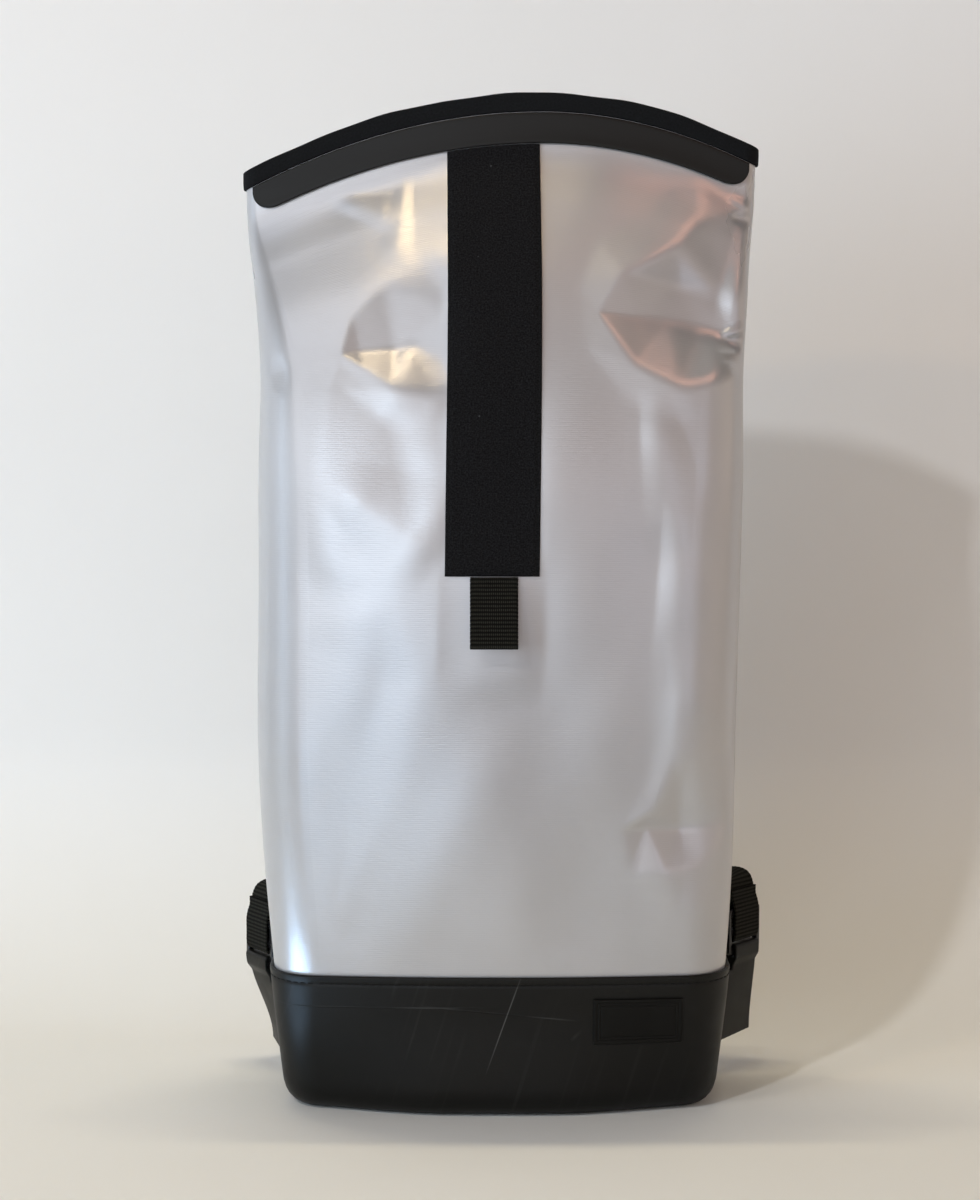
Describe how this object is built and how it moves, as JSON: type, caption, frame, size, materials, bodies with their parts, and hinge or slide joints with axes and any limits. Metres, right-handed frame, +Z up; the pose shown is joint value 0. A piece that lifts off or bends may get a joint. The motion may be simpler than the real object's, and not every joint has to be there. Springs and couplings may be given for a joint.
{
  "type": "roll-top backpack",
  "caption": "Standing roll-top backpack with a tarpaulin tube in a rubber boot, an arched stiffened lip, a hook-and-loop strip with a pull tab, and buckled shoulder straps.",
  "frame": {"origin": "middle of the boot's flat underside", "axes": "+Z up, -Y out of the front face with the strip, +X to the right seen from the front"},
  "size_m": [0.3009, 0.1708, 0.5518],
  "materials": {
    "tarpaulin": "satin coated tarpaulin with a fine weave",
    "rubber": "satin black rubber",
    "binding": "matte woven binding",
    "stiffener": "semi-gloss black plastic strip",
    "hook_loop": "matte black hook-and-loop pile",
    "webbing": "ribbed black webbing",
    "padding": "matte black woven cover",
    "buckle": "glossy black moulded plastic",
    "label": "matte black moulded patch, bare"
  },
  "bodies": {
    "root": {"body_shell": "tarpaulin", "base_boot": "rubber", "mouth_binding": "binding", "lip_stiffener": "stiffener", "closure_strip": "hook_loop", "pull_tab": "webbing", "label_patch": "label", "strap_yoke": "padding", "shoulder_strap_left": "padding", "shoulder_strap_right": "padding", "strap_webbing_left": "webbing", "strap_webbing_right": "webbing", "ladder_lock_left": "buckle", "ladder_lock_right": "buckle", "anchor_tab_left": "rubber", "anchor_tab_right": "rubber"}
  },
  "joints": []
}
